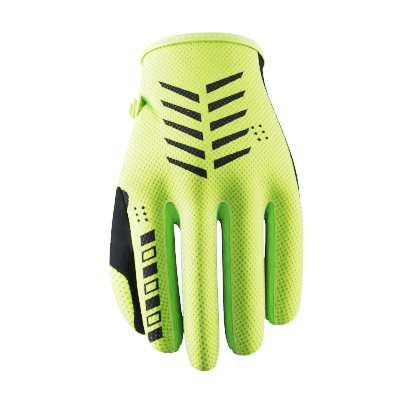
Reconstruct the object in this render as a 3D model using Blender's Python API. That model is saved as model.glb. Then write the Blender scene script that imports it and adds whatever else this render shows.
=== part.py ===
"""Motocross glove for the left hand, in the form it has on a hand, with the fingers hanging down.

Lengths are in metres, +Z up. The origin is the centre of the cuff's mouth. The back of
the glove faces -Y, the palm faces +Y and the thumb is on the -X side.
One smooth skin is worked out first. It is then cut along its seams into cloth panels,
and each panel becomes a closed wall of its own thickness.
"""

import math
from collections import namedtuple

import bmesh
import bpy
from mathutils import Vector
from mathutils.bvhtree import BVHTree

MM = 0.001

# Walls and seams
KNIT_WALL = 1.2 * MM
GUSSET_WALL = 1.0 * MM
SUEDE_WALL = 1.4 * MM
SEAM_GAP = 0.4 * MM

# The hand part, from the cuff's mouth to the finger webs
BACK_DROP = 93.5 * MM
KNUCKLE_REACH = 50.0 * MM
CUFF_WIDTH = 72.0 * MM
CUFF_DEPTH = 47.0 * MM
CUFF_PEAK = 3.2 * MM
CUFF_PEAK_REACH = 0.18
CUFF_LEAN = 0.45
HAND_DEPTH = 42.0 * MM
THUMB_SHOULDER = 11.5 * MM
ROUNDNESS = 2.25

# The fingers
MIDDLE_OFFSET = -2.6 * MM
WEB_GAP = 2.0 * MM
WEB_TILT = 42.0
WEB_TILT_REACH = 0.25
WEB_SAG = 6.0 * MM
WEB_SAG_REACH = 0.4
CURL_AT_WEB = 8.0
CURL_AT_TIP = -26.0
INDEX_WIDTH = 25.4 * MM
INDEX_DEPTH = 26.0 * MM
INDEX_LENGTH = 82.0 * MM
MIDDLE_WIDTH = 22.6 * MM
MIDDLE_DEPTH = 26.0 * MM
MIDDLE_LENGTH = 92.7 * MM
RING_WIDTH = 25.2 * MM
RING_DEPTH = 26.0 * MM
RING_LENGTH = 83.3 * MM
LITTLE_WIDTH = 24.4 * MM
LITTLE_DEPTH = 24.6 * MM
LITTLE_LENGTH = 67.0 * MM

# The thumb
THUMB_WIDTH = 26.5 * MM
THUMB_DEPTH = 26.5 * MM
THUMB_LENGTH = 65.5 * MM

# The elastic binding round the cuff's mouth
BINDING_LAP = 4.4 * MM
BINDING_CAP = 1.3 * MM
BINDING_LEG = 0.9 * MM
BINDING_CLEARANCE = 0.3 * MM

# The wrist strap and its pull. The strap's middle lies this share of BACK_DROP down, and
# it runs between two angles round the wrist, in degrees from the little finger's side.
STRAP_WIDTH = 13.0 * MM
STRAP_WALL = 1.4 * MM
STRAP_CLEARANCE = 0.5 * MM
STRAP_LIFT = 0.8 * MM
STRAP_LIFT_RUN = 0.2
STRAP_DROP = 0.323
STRAP_START = -28
STRAP_END = -176
STRAP_STEPS = 26
PULL_WALL = 1.7 * MM
PULL_LENGTH = 17.0 * MM
PULL_HEIGHT = 8.0 * MM
PULL_STEPS = 8
PULL_CORNER = 0.3

# A section of the hand part. Drop and reach are shares of BACK_DROP and KNUCKLE_REACH,
# tilt is in degrees, the two sides and to_hand run from 0 at the cuff's size to 1 at
# the knuckles' size, and back and palm are shares of half the depth.
Section = namedtuple("Section", "drop reach tilt thumb_side little_side to_hand back palm")
SECTIONS = (
    Section(0.016, 0.017, 25, 0.00, 0.00, 0.00, 1.00, 1.00),
    Section(0.176, 0.170, 30, 0.12, 0.03, 0.08, 0.92, 0.88),
    Section(0.290, 0.320, 33, 0.20, 0.17, 0.16, 0.86, 0.79),
    Section(0.486, 0.595, 35, 0.36, 0.48, 0.44, 0.85, 0.82),
    Section(0.674, 0.815, 33, 0.72, 0.77, 0.78, 0.95, 0.82),
    Section(0.843, 0.945, 31, 1.00, 0.91, 1.00, 1.00, 0.76),
)

# Angles of the hand part's side seams, in degrees from its sides
THUMB_SEAM = 27
LITTLE_SEAM = 22
LITTLE_SEAM_AT_CUFF = 32

# A finger. Gap is a share of WEB_GAP and arch is the slope in degrees, both from its
# neighbour nearer the middle finger. Rise lifts its web, draw is the share of the
# distance from that neighbour that is left at the tip, and the two rolls turn its back
# away from the front, in degrees. Suede_edge is how far round from the middle of its
# back the suede reaches on its thumb side, in degrees.
Finger = namedtuple("Finger", "name width depth length gap arch rise draw roll_web roll_tip suede_edge")
INDEX = Finger("index", INDEX_WIDTH, INDEX_DEPTH, INDEX_LENGTH, 1.5, 13, 0.0, 0.82, -30, -30, 128)
MIDDLE = Finger("middle", MIDDLE_WIDTH, MIDDLE_DEPTH, MIDDLE_LENGTH, 0, 0, 0.0, 1.0, 2, 2, 128)
RING = Finger("ring", RING_WIDTH, RING_DEPTH, RING_LENGTH, 1.3, 13, 0.0, 0.94, 24, 30, 106)
LITTLE = Finger("little", LITTLE_WIDTH, LITTLE_DEPTH, LITTLE_LENGTH, 1.0, 21, 0.02, 0.82, 32, 40, 112)
FINGERS = (INDEX, MIDDLE, RING, LITTLE)
MIDDLE_TIP_DRIFT = 0.034
TIP_DRAW_POWER = 1.8
CENTRE_LINE_STEPS = 40

# Rings along a finger: the share of its length, and the share of its full girth
FINGER_RINGS = ((0.0, 1.0), (0.10, 1.02), (0.22, 1.0), (0.46, 1.0), (0.70, 1.0), (0.90, 0.97), (0.99, 0.66))
FINGER_END = 1.03
FINGER_END_SPREAD = 1 / 3

# Angles round a finger, in degrees from the middle of its back: where the knit ends,
# on the little finger's free side at the web and elsewhere, the middle of the gusset,
# and where the suede begins. The power is how fast the first gives way to the second.
LITTLE_KNIT_EDGE = 22
LITTLE_KNIT_POWER = 0.8
KNIT_EDGE = 70
GUSSET_MIDDLE = 99
SUEDE_EDGE = 128

# Rings down the thumb. Out, back and drop are shares of THUMB_LENGTH from the middle of
# its root, wide and deep are shares of its width and depth. Lean tips the ring's outer
# side up and seam is where the knit ends at the front, both in degrees. The last angles
# of each ring, from its inner side round the back, are the same in all.
ThumbRing = namedtuple("ThumbRing", "out back drop wide deep lean seam")
THUMB_RINGS = (
    ThumbRing(0.075, 0.185, 0.220, 0.60, 0.48, 60, 88),
    ThumbRing(0.040, 0.285, 0.500, 0.56, 0.50, 30, 88),
    ThumbRing(-0.030, 0.350, 0.740, 0.54, 0.48, 20, 82),
    ThumbRing(-0.085, 0.366, 0.905, 0.46, 0.40, 16, 68),
    ThumbRing(-0.125, 0.370, 0.985, 0.25, 0.24, 10, 55),
)
THUMB_END = ThumbRing(-0.130, 0.370, 1.02, 0.18, 0.24, 6, 55)
THUMB_BACK_ANGLES = [180, 215, 250, 290, 325, 0]

# Folds pressed into the back. Across is a share of half the cuff's width from the
# middle, down is a share of BACK_DROP, and long, wide and deep are shares of FOLD_SIZE.
# Each is placed from well in front of the glove.
FOLD_SIZE = 10.0 * MM
IN_FRONT = 200.0 * MM
Fold = namedtuple("Fold", "across down turn long wide deep")
FOLDS = (
    Fold(-0.95, 0.309, 50, 0.80, 0.45, 0.26),
    Fold(-0.76, 0.451, 55, 1.10, 0.55, 0.12),
    Fold(-0.50, 0.839, 88, 1.20, 0.50, 0.10),
    Fold(0.42, 0.839, 92, 1.20, 0.50, 0.09),
    Fold(1.02, 0.811, 100, 1.20, 0.50, 0.10),
)

# Panels, in the order of their face tags
KNIT, PALM, GUSSET_1, GUSSET_2, GUSSET_3, THUMB_KNIT, THUMB_SUEDE = range(7)
GUSSETS = (GUSSET_1, GUSSET_2, GUSSET_3)

COLOURS = {
    "knit": ((0.62, 0.83, 0.07), 0.75),
    "stretch": ((0.42, 0.72, 0.06), 0.65),
    "suede": ((0.012, 0.012, 0.013), 0.9),
    "binding": ((0.70, 0.84, 0.22), 0.7),
    "rubber": ((0.66, 0.82, 0.20), 0.5),
}


def mix(a, b, share):
    return a + (b - a) * share


def ease(share):
    share = min(1.0, max(0.0, share))
    return share * share * (3 - 2 * share)


def clear_scene():
    for obj in list(bpy.data.objects):
        bpy.data.objects.remove(obj)


def material(name):
    found = bpy.data.materials.get(name)
    if found:
        return found
    colour, roughness = COLOURS[name]
    made = bpy.data.materials.new(name)
    made.use_nodes = True
    shader = made.node_tree.nodes["Principled BSDF"]
    shader.inputs["Base Color"].default_value = (*colour, 1)
    shader.inputs["Roughness"].default_value = roughness
    shader.inputs["Metallic"].default_value = 0
    return made


def seen_half_width(finger):
    """Half the width that a rolled finger shows from the front."""
    roll = math.radians(finger.roll_web)
    return math.hypot(finger.width * math.cos(roll), finger.depth * math.sin(roll)) / 2


def finger_places():
    """Each finger's web centre as (across, back), stepping out from the middle finger."""
    places = {"middle": (MIDDLE_OFFSET, 0.0)}
    for finger, neighbour, side in ((INDEX, MIDDLE, -1), (RING, MIDDLE, 1), (LITTLE, RING, 1)):
        step = seen_half_width(finger) + seen_half_width(neighbour) + WEB_GAP * finger.gap
        slope = math.radians(finger.arch)
        across, back = places[neighbour.name]
        places[finger.name] = (across + side * step * math.cos(slope), back + step * math.sin(slope))
    return places


def tip_places(places):
    """Each fingertip's distance across, drawn in towards the middle finger."""
    tips = {"middle": places["middle"][0] + MIDDLE_TIP_DRIFT * MIDDLE_LENGTH}
    for finger, neighbour in ((INDEX, MIDDLE), (RING, MIDDLE), (LITTLE, RING)):
        apart = places[finger.name][0] - places[neighbour.name][0]
        tips[finger.name] = tips[neighbour.name] + apart * finger.draw
    return tips


PLACES = finger_places()
TIPS = tip_places(PLACES)
THUMB_SIDE = seen_half_width(INDEX) - PLACES["index"][0] + THUMB_SHOULDER
LITTLE_SIDE = seen_half_width(LITTLE) + PLACES["little"][0]


def knuckle_arch(across):
    """How far back the row of finger roots lies at a distance across."""
    roots = sorted(PLACES.values())
    for (left, left_back), (right, right_back) in zip(roots, roots[1:]):
        if left <= across < right:
            return mix(left_back, right_back, (across - left) / (right - left))
    return roots[0][1] if across < roots[0][0] else roots[-1][1]


def curl_angle(share):
    return math.radians(mix(CURL_AT_WEB, CURL_AT_TIP, share))


def finger_centre(finger, share):
    """A point on the finger's centre line, found by adding up short steps down it."""
    across, back = PLACES[finger.name]
    y = back - KNUCKLE_REACH
    z = finger.rise * BACK_DROP - BACK_DROP
    run = finger.length * share / CENTRE_LINE_STEPS
    for step in range(CENTRE_LINE_STEPS):
        angle = curl_angle(share * (step + 0.5) / CENTRE_LINE_STEPS)
        y -= math.sin(angle) * run
        z -= math.cos(angle) * run
    return Vector((mix(across, TIPS[finger.name], share**TIP_DRAW_POWER), y, z))


def finger_point(finger, share, girth, angle, reach=1.0):
    """A point of a finger's ring. Angle is in degrees from the middle of its back."""
    roll = math.radians(mix(finger.roll_web, finger.roll_tip, share))
    turn = math.radians(angle)
    wide = finger.width / 2 * girth * math.sin(turn) * reach
    deep = finger.depth / 2 * girth * math.cos(turn) * reach
    across = wide * math.cos(roll) + deep * math.sin(roll)
    out = deep * math.cos(roll) - wide * math.sin(roll)
    tilt = mix(math.radians(WEB_TILT), curl_angle(share), ease(share / WEB_TILT_REACH))
    palmward = max(0.0, -math.cos(turn)) * abs(math.sin(turn)) * 2
    sag = WEB_SAG * palmward * (1 - ease(share / WEB_SAG_REACH))
    centre = finger_centre(finger, share)
    return centre + Vector((across, -out * math.cos(tilt), out * math.sin(tilt) - sag))


def section_half_width(section, across):
    if across < 0:
        return mix(CUFF_WIDTH / 2, THUMB_SIDE, section.thumb_side)
    return mix(CUFF_WIDTH / 2, LITTLE_SIDE, section.little_side)


def section_angle(section, x):
    """The angle between 0 and 180 at which the section is x across."""
    across = x / section_half_width(section, x)
    return math.degrees(math.acos(math.copysign(abs(across) ** (ROUNDNESS / 2), across)))


def section_point(section, angle):
    """A point of the hand part's section. Angle 0 is the little finger's side, 90 the back."""
    turn = math.radians(angle)
    across = math.copysign(abs(math.cos(turn)) ** (2 / ROUNDNESS), math.cos(turn))
    out = math.copysign(abs(math.sin(turn)) ** (2 / ROUNDNESS), math.sin(turn))
    half_width = section_half_width(section, across)
    half_depth = mix(CUFF_DEPTH, HAND_DEPTH, section.to_hand) / 2
    half_depth *= section.back if out > 0 else section.palm
    tilt = math.radians(section.tilt)
    peak = CUFF_PEAK * max(0.0, out) * (out + CUFF_LEAN * across)
    peak *= max(0.0, 1 - section.drop / CUFF_PEAK_REACH)
    back = knuckle_arch(across * half_width) * section.to_hand - KNUCKLE_REACH * section.reach
    return Vector((
        across * half_width,
        back - out * half_depth * math.cos(tilt) + peak * math.sin(tilt),
        -BACK_DROP * section.drop + out * half_depth * math.sin(tilt) + peak * math.cos(tilt),
    ))


class Skin:
    """The coarse skin of quads that the smooth skin is subdivided from."""

    def __init__(self):
        self.mesh = bmesh.new()

    def points(self, places):
        return [self.mesh.verts.new(place) for place in places]

    def strip(self, upper, lower, tags):
        """Quads between two rows of points. A tag of None leaves a quad out."""
        for at, tag in enumerate(tags):
            if tag is not None:
                face = self.mesh.faces.new((upper[at], upper[at + 1], lower[at + 1], lower[at]))
                face.material_index = tag

    def close_end(self, ring, ends, front_tags, back_tags):
        """Closes a ring of ten with a grid of three by two. Ends are its two inner points."""
        front = ring[0:4]
        back = [ring[8], ring[7], ring[6], ring[5]]
        between = [ring[9], ends[0], ends[1], ring[4]]
        self.strip(front, between, front_tags)
        self.strip(between, back, back_tags)


def finger_ring(skin, finger, share, girth):
    """Ten points: four over the back, the little side, four over the palm, the thumb side."""
    free_side = KNIT_EDGE
    if finger is LITTLE:
        free_side = mix(LITTLE_KNIT_EDGE, KNIT_EDGE, share**LITTLE_KNIT_POWER)
    knit = [mix(-KNIT_EDGE, free_side, step / 3) for step in range(4)]
    suede = [mix(SUEDE_EDGE, 360 - finger.suede_edge, step / 3) for step in range(4)]
    angles = knit + [GUSSET_MIDDLE] + suede + [-(KNIT_EDGE + finger.suede_edge) / 2]
    return skin.points(finger_point(finger, share, girth, angle) for angle in angles)


def finger_tags(number, row):
    """Which panel each of a ring's ten quads belongs to."""
    little_side = GUSSETS[number] if number < 3 else PALM
    thumb_side = GUSSETS[number - 1] if number else KNIT
    if number == 0 and row < 2:
        thumb_side = None
    return [KNIT] * 3 + [little_side] * 2 + [PALM] * 3 + [thumb_side] * 2


def add_fingers(skin):
    """The four fingers. Returns the rings of each, from the web down."""
    fingers = []
    for number, finger in enumerate(FINGERS):
        rings = [finger_ring(skin, finger, share, girth) for share, girth in FINGER_RINGS]
        for row, (upper, lower) in enumerate(zip(rings, rings[1:])):
            tags = finger_tags(number, row)
            skin.strip(upper + upper[:1], lower + lower[:1], tags)
        ends = skin.points(
            finger_point(finger, FINGER_END, FINGER_RINGS[-1][1], side * 90, FINGER_END_SPREAD) for side in (-1, 1)
        )
        skin.close_end(rings[-1], ends, [KNIT] * 3, [KNIT] * 3)
        fingers.append(rings)
    for number, (left, right) in enumerate(zip(fingers, fingers[1:])):
        web_left, web_right = left[0], right[0]
        skin.strip([web_left[3], web_right[0]], [web_left[4], web_right[9]], [GUSSETS[number]])
        skin.strip([web_left[4], web_right[9]], [web_left[5], web_right[8]], [GUSSETS[number]])
    return fingers


def section_row(section, start, end, side, web):
    """A section's sixteen points on one side, spread evenly at the cuff and lined up with
    the web's points at the knuckles. Side is 1 for the back and -1 for the palm."""
    from_x = section_point(section, start).x
    to_x = section_point(section, end).x
    row = []
    for number, point in enumerate(web):
        even = mix(start, end, number / (len(web) - 1))
        share = (point.co.x - web[0].co.x) / (web[-1].co.x - web[0].co.x)
        fitted = side * section_angle(section, mix(from_x, to_x, share))
        row.append(section_point(section, mix(even, fitted, section.to_hand)))
    return row


def add_hand(skin, fingers):
    """The hand part above the webs. Returns the rows of its points, from the cuff down."""
    web_back = [point for finger in fingers for point in finger[0][0:4]]
    web_palm = [point for finger in reversed(fingers) for point in finger[0][5:9]]
    rings = []
    for section in SECTIONS:
        seam = mix(LITTLE_SEAM_AT_CUFF, LITTLE_SEAM, min(1.0, 2 * section.drop))
        back = section_row(section, 180 - THUMB_SEAM, seam, 1, web_back)
        palm = section_row(section, -LITTLE_SEAM, THUMB_SEAM - 180, -1, web_palm)
        little_side, thumb_side = [section_point(section, 0)], [section_point(section, 180)]
        rings.append(skin.points(back + little_side + palm + thumb_side))
    rings.append(web_back + [fingers[3][0][4]] + web_palm + [fingers[0][0][9]])
    for row, (upper, lower) in enumerate(zip(rings, rings[1:])):
        thumb_side = None if row == len(SECTIONS) - 1 else KNIT
        tags = [KNIT] * 15 + [PALM] * 17 + [thumb_side] * 2
        skin.strip(upper + upper[:1], lower + lower[:1], tags)
    return rings


def thumb_point(root, ring, angle):
    lean, turn = math.radians(ring.lean), math.radians(angle)
    centre = root + Vector((-ring.out, ring.back, -ring.drop)) * THUMB_LENGTH
    outward = Vector((-math.cos(lean), 0, math.sin(lean))) * ring.wide * THUMB_WIDTH
    forward = Vector((0, -1, 0)) * ring.deep * THUMB_DEPTH
    return centre + outward * math.cos(turn) + forward * math.sin(turn)


def add_thumb(skin, fingers, hand):
    """The thumb grows from the hole left in the thumb side of the hand and index finger."""
    shoulder = hand[-2]
    web, first, second = fingers[0][0:3]
    hole = [shoulder[0], web[0], first[0], second[0], second[9], second[8]]
    hole += [first[8], web[8], shoulder[32], shoulder[33]]
    root = sum((point.co for point in hole), Vector()) / len(hole)
    rings = [hole]
    for ring in THUMB_RINGS:
        front = [mix(0, ring.seam, step / 3) for step in (1, 2, 3)]
        angles = front + [mix(ring.seam, 180, 0.5)] + THUMB_BACK_ANGLES
        rings.append(skin.points(thumb_point(root, ring, angle) for angle in angles))
    for row, (upper, lower) in enumerate(zip(rings, rings[1:])):
        outside = THUMB_SUEDE if row < 2 else THUMB_KNIT
        tags = [outside] * 2 + [THUMB_SUEDE] * 5 + [outside] * 3
        skin.strip(upper + upper[:1], lower + lower[:1], tags)
    ends = skin.points(thumb_point(root, THUMB_END, angle) for angle in (0, 180))
    front_tags = [THUMB_KNIT, THUMB_KNIT, THUMB_SUEDE]
    back_tags = [THUMB_KNIT, THUMB_SUEDE, THUMB_SUEDE]
    skin.close_end(rings[-1], ends, front_tags, back_tags)


def coarse_skin():
    skin = Skin()
    fingers = add_fingers(skin)
    hand = add_hand(skin, fingers)
    add_thumb(skin, fingers, hand)
    mesh = skin.mesh
    loose = [point for point in mesh.verts if not point.link_faces]
    bmesh.ops.delete(mesh, geom=loose, context="VERTS")
    bmesh.ops.recalc_face_normals(mesh, faces=mesh.faces)
    if mesh.calc_volume(signed=True) < 0:
        bmesh.ops.reverse_faces(mesh, faces=mesh.faces)
    return mesh


def smooth_skin():
    """The skin after one subdivision, with the folds of the back pressed in."""
    coarse = coarse_skin()
    data = bpy.data.meshes.new("skin")
    coarse.to_mesh(data)
    coarse.free()
    guide = bpy.data.objects.new("skin", data)
    bpy.context.scene.collection.objects.link(guide)
    rounding = guide.modifiers.new("rounding", "SUBSURF")
    rounding.levels = 1
    rounding.render_levels = 1
    graph = bpy.context.evaluated_depsgraph_get()
    smooth = bmesh.new()
    smooth.from_mesh(guide.evaluated_get(graph).to_mesh())
    bpy.data.objects.remove(guide)
    press_folds(smooth)
    smooth.normal_update()
    return smooth


def press_folds(mesh):
    mesh.normal_update()
    tree = BVHTree.FromBMesh(mesh)
    moves = {point: 0.0 for point in mesh.verts}
    for fold in FOLDS:
        start = Vector((fold.across * CUFF_WIDTH / 2, -IN_FRONT, -fold.down * BACK_DROP))
        place = tree.ray_cast(start, Vector((0, 1, 0)))[0]
        if place is None:
            place = tree.find_nearest(Vector((start.x, -KNUCKLE_REACH, start.z)))[0]
        turn = math.radians(fold.turn)
        along = Vector((math.cos(turn), 0, -math.sin(turn)))
        for point in mesh.verts:
            away = point.co - place
            down_it = away.dot(along)
            beside = (away - along * down_it).length
            fade = (down_it / (fold.long * FOLD_SIZE)) ** 2 + (beside / (fold.wide * FOLD_SIZE)) ** 2
            moves[point] += fold.deep * FOLD_SIZE * math.exp(-fade)
    for point, depth in moves.items():
        point.co -= point.normal * depth


def seam_shift(point, panel, width):
    """How far a point on a panel's edge draws back from the seam."""
    shift = Vector()
    for edge in point.link_edges:
        inside = [face for face in edge.link_faces if face.material_index == panel]
        if len(inside) != 1 or len(edge.link_faces) != 2:
            continue
        along = (edge.verts[1].co - edge.verts[0].co).normalized()
        inward = inside[0].calc_center_median() - edge.verts[0].co
        inward -= along * inward.dot(along)
        inward -= point.normal * inward.dot(point.normal)
        shift += inward.normalized()
    if shift.length > 1:
        return shift * 2 * width / shift.length_squared
    return shift.normalized() * width


def ways_out(skin, rounds=3):
    """Each point's way out of the skin, evened with its neighbours' so that walls which
    meet at a sharp edge stay apart."""
    ways = [point.normal.copy() for point in skin.verts]
    for _ in range(rounds):
        evened = []
        for point in skin.verts:
            around = [ways[edge.other_vert(point).index] for edge in point.link_edges]
            evened.append((ways[point.index] * 2 + sum(around, Vector())).normalized())
        ways = evened
    return ways


def panel_wall(name, skin, panel, wall, finish):
    """A closed wall of one panel: its outer side is the skin, and it is wall thick."""
    outward = ways_out(skin)
    place = {point.index: point.co + seam_shift(point, panel, SEAM_GAP / 2) for point in skin.verts}
    mesh = skin.copy()
    mark = mesh.verts.layers.int.new("mark")
    for point in mesh.verts:
        point[mark] = point.index
    others = [face for face in mesh.faces if face.material_index != panel]
    bmesh.ops.delete(mesh, geom=others, context="FACES")
    for point in mesh.verts:
        point.co = place[point[mark]]
    outer = list(mesh.faces)
    copied = bmesh.ops.extrude_face_region(mesh, geom=outer, use_keep_orig=True)["geom"]
    for point in copied:
        if isinstance(point, bmesh.types.BMVert):
            point.co -= outward[point[mark]] * wall
    bmesh.ops.recalc_face_normals(mesh, faces=mesh.faces)
    return add_piece(name, mesh, finish)


def add_piece(name, mesh, finish, smooth_angle=50):
    """Links a mesh as a named object, with round parts shaded smooth."""
    for face in mesh.faces:
        face.material_index = 0
    data = bpy.data.meshes.new(name)
    mesh.to_mesh(data)
    mesh.free()
    data.materials.append(material(finish))
    data.shade_smooth()
    data.set_sharp_from_angle(angle=math.radians(smooth_angle))
    piece = bpy.data.objects.new(name, data)
    bpy.context.scene.collection.objects.link(piece)
    return piece


def cuff_loop(skin):
    """The skin's open edge at the cuff, in order, as (place, outward, up)."""
    edges = {edge for edge in skin.edges if len(edge.link_faces) == 1}
    point = next(iter(edges)).verts[0]
    loop = []
    while edges:
        edge = next(found for found in point.link_edges if found in edges)
        edges.remove(edge)
        loop.append(point)
        point = edge.other_vert(point)
    made = []
    for at, point in enumerate(loop):
        along = loop[(at + 1) % len(loop)].co - loop[at - 1].co
        outward = point.normal.copy()
        up = along.cross(outward).normalized()
        inner = sum((e.other_vert(point).co for e in point.link_edges), Vector()) / len(point.link_edges)
        if up.dot(point.co - inner) < 0:
            up.negate()
        made.append((point.co.copy(), outward, up))
    return made


def swept_ring(name, loop, profile, finish):
    """A closed ring: one profile of (out, up) places set at every point of the loop."""
    mesh = bmesh.new()
    rows = []
    for place, outward, up in loop:
        rows.append([mesh.verts.new(place + outward * out + up * rise) for out, rise in profile])
    for at, row in enumerate(rows):
        following = rows[(at + 1) % len(rows)]
        for side in range(len(profile)):
            beside = (side + 1) % len(profile)
            mesh.faces.new((row[side], row[beside], following[beside], following[side]))
    bmesh.ops.recalc_face_normals(mesh, faces=mesh.faces)
    return add_piece(name, mesh, finish)


def cuff_binding(skin):
    """An elastic tape folded over the cloth's edge all round the cuff's mouth."""
    outside = BINDING_CLEARANCE + BINDING_LEG
    inside = -(max(KNIT_WALL, SUEDE_WALL) + BINDING_CLEARANCE + BINDING_LEG)
    corner = BINDING_LEG / 2
    profile = (
        (outside, -BINDING_LAP),
        (outside, BINDING_CAP - corner),
        (outside - corner, BINDING_CAP),
        (inside + corner, BINDING_CAP),
        (inside, BINDING_CAP - corner),
        (inside, -BINDING_LAP),
        (inside + BINDING_LEG, -BINDING_LAP),
        (inside + BINDING_LEG, BINDING_CLEARANCE),
        (outside - BINDING_LEG, BINDING_CLEARANCE),
        (outside - BINDING_LEG, -BINDING_LAP),
    )
    return swept_ring("cuff_binding", cuff_loop(skin), profile, "binding")


def wrist_section(drop):
    """A section of the hand part at any share of BACK_DROP."""
    upper = max((row for row in SECTIONS if row.drop <= drop), key=lambda row: row.drop)
    lower = min((row for row in SECTIONS if row.drop > drop), key=lambda row: row.drop)
    share = (drop - upper.drop) / (lower.drop - upper.drop)
    return Section(*(mix(a, b, share) for a, b in zip(upper, lower)))


def on_skin(tree, drop, angle):
    """The skin's place and the way out of it, seen from inside the wrist."""
    section = wrist_section(drop)
    centre = (section_point(section, 90) + section_point(section, -90)) / 2
    out = (section_point(section, angle) - centre).normalized()
    place = tree.ray_cast(centre, out)[0]
    return place, out


def strap_place(tree, share, level, above):
    """A place over the wrist. Share runs along the strap and level across it, -1 to 1."""
    slope = math.cos(math.radians(wrist_section(STRAP_DROP).tilt))
    drop = STRAP_DROP + level * STRAP_WIDTH / 2 / BACK_DROP * slope
    place, out = on_skin(tree, drop, mix(STRAP_START, STRAP_END, share))
    lift = STRAP_LIFT * ease((share - 1) / STRAP_LIFT_RUN + 1)
    return place + out * (STRAP_CLEARANCE + lift + above)


def band(name, tree, shares, levels, low, high, finish):
    """A strip over the wrist between two heights above the strap's under side. Each of
    its levels tells how far across the strap one of its lines runs, at any share."""
    mesh = bmesh.new()
    rows = []
    for share in shares:
        under = [mesh.verts.new(strap_place(tree, share, level(share), low)) for level in levels]
        over = [mesh.verts.new(strap_place(tree, share, level(share), high)) for level in levels]
        rows.append(under + over[::-1])
    for row, following in zip(rows, rows[1:]):
        for side in range(len(row)):
            beside = (side + 1) % len(row)
            mesh.faces.new((row[side], row[beside], following[beside], following[side]))
    for row in (rows[0], rows[-1]):
        for side in range(len(levels) - 1):
            mesh.faces.new((row[side], row[side + 1], row[-2 - side], row[-1 - side]))
    bmesh.ops.recalc_face_normals(mesh, faces=mesh.faces)
    return add_piece(name, mesh, finish, 30)


def wrist_strap(skin):
    """A strap across the palm side of the wrist, and the thick pull on its free end."""
    tree = BVHTree.FromBMesh(skin)
    lines = (-1, -1 / 3, 1 / 3, 1)
    straight = [lambda share, line=line: line for line in lines]
    shares = [step / STRAP_STEPS for step in range(STRAP_STEPS + 1)]
    band("wrist_strap", tree, shares, straight, 0, STRAP_WALL, "stretch")

    places = [strap_place(tree, share, 0, 0) for share in shares]
    strap_length = sum((b - a).length for a, b in zip(places, places[1:]))
    run = PULL_LENGTH / strap_length

    def rounded(line):
        def level(share):
            from_middle = abs(2 * (1 - share) / run - 1)
            return line * PULL_HEIGHT / STRAP_WIDTH * (1 - PULL_CORNER * from_middle**4)

        return level

    shares = [1 - run * (1 - step / PULL_STEPS) for step in range(PULL_STEPS + 1)]
    low = STRAP_WALL + STRAP_CLEARANCE
    band("strap_pull", tree, shares, [rounded(line) for line in lines], low, low + PULL_WALL, "rubber")


def build():
    clear_scene()
    skin = smooth_skin()
    panel_wall("back_knit", skin, KNIT, KNIT_WALL, "knit")
    panel_wall("palm_suede", skin, PALM, SUEDE_WALL, "suede")
    for panel, name in zip(GUSSETS, ("index_middle", "middle_ring", "ring_little")):
        panel_wall(f"gusset_{name}", skin, panel, GUSSET_WALL, "stretch")
    panel_wall("thumb_knit", skin, THUMB_KNIT, KNIT_WALL, "knit")
    panel_wall("thumb_suede", skin, THUMB_SUEDE, SUEDE_WALL, "suede")
    cuff_binding(skin)
    wrist_strap(skin)
    skin.free()


build()
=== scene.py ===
"""Cloth, seams, trims and prints of a motocross glove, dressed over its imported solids.

Lengths are in metres in the frame of the solids: +Z up, the back of the glove towards -Y
and the thumb on the -X side. Each cloth panel is a smooth copy of its solid.
"""

import math
from itertools import product

import bmesh
import bpy
from bpy.props import FloatProperty, FloatVectorProperty, PointerProperty
from mathutils import Matrix, Vector
from mathutils.bvhtree import BVHTree


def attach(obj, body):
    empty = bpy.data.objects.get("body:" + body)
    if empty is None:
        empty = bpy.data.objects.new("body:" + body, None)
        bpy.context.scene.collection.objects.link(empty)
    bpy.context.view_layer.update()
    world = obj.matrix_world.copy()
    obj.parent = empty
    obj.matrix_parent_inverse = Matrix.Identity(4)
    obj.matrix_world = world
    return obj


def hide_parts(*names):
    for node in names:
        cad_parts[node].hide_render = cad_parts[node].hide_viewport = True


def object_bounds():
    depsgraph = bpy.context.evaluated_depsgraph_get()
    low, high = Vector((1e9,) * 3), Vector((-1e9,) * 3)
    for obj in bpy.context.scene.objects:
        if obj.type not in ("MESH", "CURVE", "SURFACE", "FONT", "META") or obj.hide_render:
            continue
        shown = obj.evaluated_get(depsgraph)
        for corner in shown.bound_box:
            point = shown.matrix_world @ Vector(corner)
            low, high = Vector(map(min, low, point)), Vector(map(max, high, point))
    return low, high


bl_info = {
    "name": "Motocross glove",
    "version": (1, 0, 0),
    "blender": (4, 5, 0),
    "location": "View3D > Sidebar > Glove",
    "description": "Dresses the solids of a motocross glove in knit, suede, tape and thread",
    "category": "Object",
}

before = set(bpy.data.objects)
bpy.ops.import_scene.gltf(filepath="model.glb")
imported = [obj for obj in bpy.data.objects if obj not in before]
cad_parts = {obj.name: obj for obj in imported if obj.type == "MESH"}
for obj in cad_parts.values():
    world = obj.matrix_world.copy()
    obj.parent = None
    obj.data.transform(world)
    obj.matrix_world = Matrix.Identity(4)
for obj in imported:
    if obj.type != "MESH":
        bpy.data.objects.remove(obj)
CAD_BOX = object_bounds()

MM = 0.001
MERGE = 1e-6
# Marks on the faces of a cloth wall
OUTER, EDGE, INNER = range(3)
CLEFTS = ("index_middle", "middle_ring", "ring_little")
GUSSETS = tuple(f"gusset_{cleft}" for cleft in CLEFTS)

# Triangles join into one face below the first bend, and edges are sharp above the second
FLAT_BEND = math.radians(60)
ROUND_BEND = math.radians(40)
TAPE_EDGE_BEND = math.radians(75)
# How sharp a panel's cut rim stays when the panel is smoothed
RIM_CREASE = 0.9
# Round on the edges of the strap and its pull
EDGE_ROUND = 0.35 * MM
# Distance within which a panel's rim lies at the panel beside it
SEAM_REACH = 1.0 * MM
# Radius on which the thumb's knit is laid flat
THUMB_RADIUS = 13.0 * MM


def in_metres(*rows):
    """Rows of lengths that are written in millimetres."""
    return [tuple(value * MM for value in row) for row in rows]


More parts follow.
